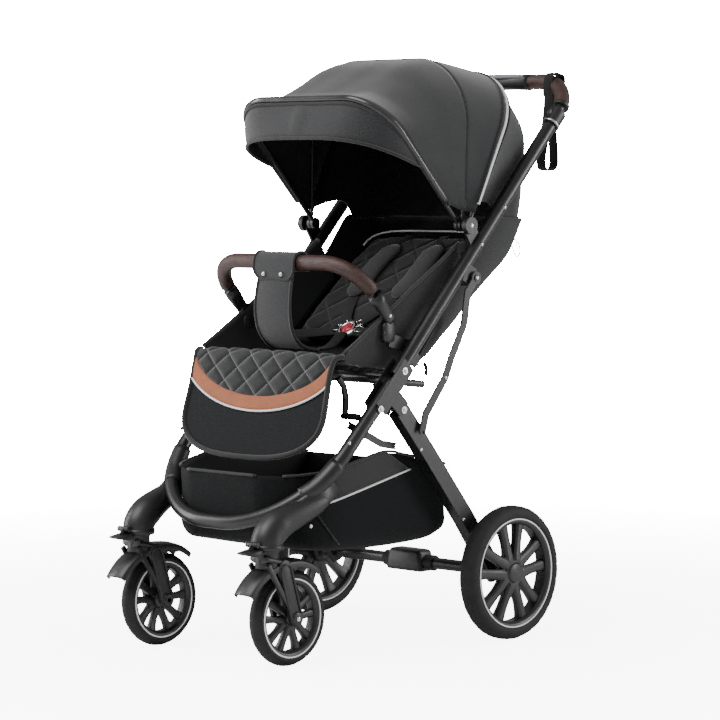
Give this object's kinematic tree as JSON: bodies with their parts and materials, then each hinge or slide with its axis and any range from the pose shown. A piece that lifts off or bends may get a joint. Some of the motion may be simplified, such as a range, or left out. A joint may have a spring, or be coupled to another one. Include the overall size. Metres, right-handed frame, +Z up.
{
  "type": "baby stroller",
  "caption": "Folding baby stroller with a reclining seat, arched canopy, padded bumper bar, footrest, swivelling front casters, basket and telescoping handle.",
  "frame": {"origin": "on the floor, under the middle of the overall box", "axes": "+X the child's left, -Y forward (the way the child faces), +Z up"},
  "size_m": [0.54, 0.8724, 1.077],
  "materials": {
    "frame_tube": "satin black powder coat",
    "rivet_steel": "polished rivet head",
    "black_plastic": "fine moulded texture",
    "grey_plastic": "satin moulded",
    "red_plastic": "glossy",
    "tyre_foam": "matt with block tread",
    "heather_fabric": "charcoal heather weave",
    "black_fabric": "plain weave",
    "black_mesh": "knitted mesh",
    "quilted_fabric": "quilted with pale stitching",
    "brown_leather": "stitched wrap",
    "webbing": "woven webbing",
    "board": "pressed board"
  },
  "bodies": {
    "frame": {"front_loop": "frame_tube", "hub_bracket_left": "frame_tube", "hub_bracket_right": "frame_tube", "frame_rivets": "rivet_steel", "caster_arm_left": "black_plastic", "caster_arm_right": "black_plastic", "seat_frame": "frame_tube", "seat_board": "board", "seat_pad": "quilted_fabric", "side_wings": "black_fabric", "basket": "black_mesh", "crotch_strap": "webbing", "bumper_panel": "heather_fabric"},
    "push_bar": {"upper_tube_left": "frame_tube", "upper_tube_right": "frame_tube", "collars": "black_plastic", "side_brackets": "frame_tube", "link_brackets": "frame_tube", "canopy_mounts": "black_plastic", "rear_bow": "frame_tube", "canopy_rear": "heather_fabric"},
    "handle": {"handle_tube": "frame_tube", "handle_grip": "brown_leather", "console": "grey_plastic", "wrist_strap": "webbing"},
    "fold_button": {"fold_button": "black_plastic"},
    "mid_bow": {"mid_bow": "frame_tube", "canopy_middle": "heather_fabric"},
    "front_bow": {"front_bow": "frame_tube", "canopy_front": "heather_fabric", "visor": "heather_fabric"},
    "backrest": {"backrest_board": "board", "back_pad": "quilted_fabric", "back_shell": "heather_fabric", "shoulder_straps": "webbing", "buckle": "black_plastic"},
    "buckle_button": {"buckle_button": "red_plastic"},
    "rear_legs": {"rear_leg_left": "frame_tube", "rear_leg_right": "frame_tube", "rear_axle": "frame_tube", "brake_housing": "black_plastic"},
    "brake_pedal": {"brake_pedal": "black_plastic"},
    "fold_links": {"fold_links": "frame_tube"},
    "front_stays": {"front_stays": "frame_tube"},
    "rear_stays": {"rear_stays": "frame_tube"},
    "bumper_ends": {"bumper_ends": "frame_tube"},
    "bumper_bar": {"bumper_bar": "brown_leather"},
    "footrest": {"footrest": "quilted_fabric"},
    "caster_left": {"caster_fork_left": "black_plastic"},
    "front_wheel_left": {"front_tyre_left": "tyre_foam", "front_rim_left": "black_plastic"},
    "swivel_lock_left": {"swivel_lock_left": "black_plastic"},
    "rear_wheel_left": {"rear_tyre_left": "tyre_foam", "rear_rim_left": "black_plastic"},
    "caster_right": {"caster_fork_right": "black_plastic"},
    "front_wheel_right": {"front_tyre_right": "tyre_foam", "front_rim_right": "black_plastic"},
    "swivel_lock_right": {"swivel_lock_right": "black_plastic"},
    "rear_wheel_right": {"rear_tyre_right": "tyre_foam", "rear_rim_right": "black_plastic"}
  },
  "joints": [
    {"name": "frame_fold", "type": "hinge", "parent": "frame", "child": "push_bar", "pos_m": [0, -0.078, 0.511], "axis": [1, 0, 0], "range_deg": [0, 116], "deforming": ["side_wings", "canopy_rear", "canopy_middle", "canopy_front", "visor", "crotch_strap", "bumper_panel"]},
    {"name": "rear_leg_fold", "type": "hinge", "parent": "frame", "child": "rear_legs", "pos_m": [0, -0.08, 0.441], "axis": [-1, 0, 0], "range_deg": [0, 58]},
    {"name": "link_turn", "type": "hinge", "parent": "push_bar", "child": "fold_links", "pos_m": [0, 0.11, 0.674], "axis": [-1, 0, 0], "range_deg": [0, 46]},
    {"name": "front_stay_turn", "type": "hinge", "parent": "frame", "child": "front_stays", "pos_m": [0, -0.193, 0.42], "axis": [-1, 0, 0], "range_deg": [0, 27]},
    {"name": "rear_stay_turn", "type": "hinge", "parent": "rear_legs", "child": "rear_stays", "pos_m": [0, -0.063, 0.372], "axis": [1, 0, 0], "range_deg": [0, 154]},
    {"name": "handle_slide", "type": "slide", "parent": "push_bar", "child": "handle", "axis": [0, 0.6845, 0.729], "range_m": [0, 0.09]},
    {"name": "fold_button_press", "type": "slide", "parent": "handle", "child": "fold_button", "axis": [0, 1, 0], "range_m": [0, 0.005], "stiffness_N_per_m": 400},
    {"name": "canopy_fold", "type": "hinge", "parent": "push_bar", "child": "mid_bow", "pos_m": [0, 0.104, 0.77], "axis": [1, 0, 0], "range_deg": [-19.5, 0]},
    {"name": "front_bow_fold", "type": "hinge", "parent": "mid_bow", "child": "front_bow", "pos_m": [0, 0.104, 0.77], "axis": [1, 0, 0], "range_deg": [-39, 0]},
    {"name": "recline", "type": "hinge", "parent": "push_bar", "child": "backrest", "pos_m": [0, -0.009, 0.52], "axis": [1, 0, 0], "range_deg": [-27, 15]},
    {"name": "buckle_press", "type": "slide", "parent": "backrest", "child": "buckle_button", "axis": [0, 0.6361, -0.7716], "range_m": [0, 0.0035], "stiffness_N_per_m": 400},
    {"name": "bumper_release", "type": "slide", "parent": "push_bar", "child": "bumper_ends", "axis": [0, -0.0524, 0.9986], "range_m": [0, 0.045]},
    {"name": "bumper_turn", "type": "hinge", "parent": "bumper_ends", "child": "bumper_bar", "pos_m": [0, -0.0865, 0.6096], "axis": [-1, 0, 0], "range_deg": [0, 84]},
    {"name": "footrest_lift", "type": "hinge", "parent": "frame", "child": "footrest", "pos_m": [0, -0.2023, 0.5066], "axis": [1, 0, 0], "range_deg": [-55, 20]},
    {"name": "brake_press", "type": "hinge", "parent": "rear_legs", "child": "brake_pedal", "pos_m": [0, 0.203, 0.121], "axis": [-1, 0, 0], "range_deg": [0, 18]},
    {"name": "caster_swivel_left", "type": "hinge", "parent": "frame", "child": "caster_left", "pos_m": [0.1675, -0.373, 0.21], "axis": [0, 0, 1], "continuous": true},
    {"name": "front_wheel_spin_left", "type": "hinge", "parent": "caster_left", "child": "front_wheel_left", "pos_m": [0.1675, -0.324, 0.086], "axis": [1, 0, 0], "continuous": true},
    {"name": "swivel_lock_turn_left", "type": "hinge", "parent": "frame", "child": "swivel_lock_left", "pos_m": [0.1675, -0.408, 0.222], "axis": [1, 0, 0], "range_deg": [0, 12]},
    {"name": "rear_wheel_spin_left", "type": "hinge", "parent": "rear_legs", "child": "rear_wheel_left", "pos_m": [0.25, 0.176, 0.125], "axis": [1, 0, 0], "continuous": true},
    {"name": "caster_swivel_right", "type": "hinge", "parent": "frame", "child": "caster_right", "pos_m": [-0.1675, -0.373, 0.21], "axis": [0, 0, 1], "continuous": true},
    {"name": "front_wheel_spin_right", "type": "hinge", "parent": "caster_right", "child": "front_wheel_right", "pos_m": [-0.1675, -0.324, 0.086], "axis": [1, 0, 0], "continuous": true},
    {"name": "swivel_lock_turn_right", "type": "hinge", "parent": "frame", "child": "swivel_lock_right", "pos_m": [-0.1675, -0.408, 0.222], "axis": [1, 0, 0], "range_deg": [0, 12]},
    {"name": "rear_wheel_spin_right", "type": "hinge", "parent": "rear_legs", "child": "rear_wheel_right", "pos_m": [-0.25, 0.176, 0.125], "axis": [1, 0, 0], "continuous": true}
  ],
  "couplings": [
    {"joint": "rear_leg_fold", "follows": "frame_fold", "ratio": 0.49397},
    {"joint": "link_turn", "follows": "frame_fold", "ratio": 0.38879},
    {"joint": "front_stay_turn", "follows": "frame_fold", "ratio": 0.225},
    {"joint": "rear_stay_turn", "follows": "frame_fold", "ratio": 1.3198},
    {"joint": "bumper_turn", "follows": "frame_fold", "ratio": 0.71552},
    {"joint": "front_bow_fold", "follows": "canopy_fold", "ratio": 1.9744}
  ]
}
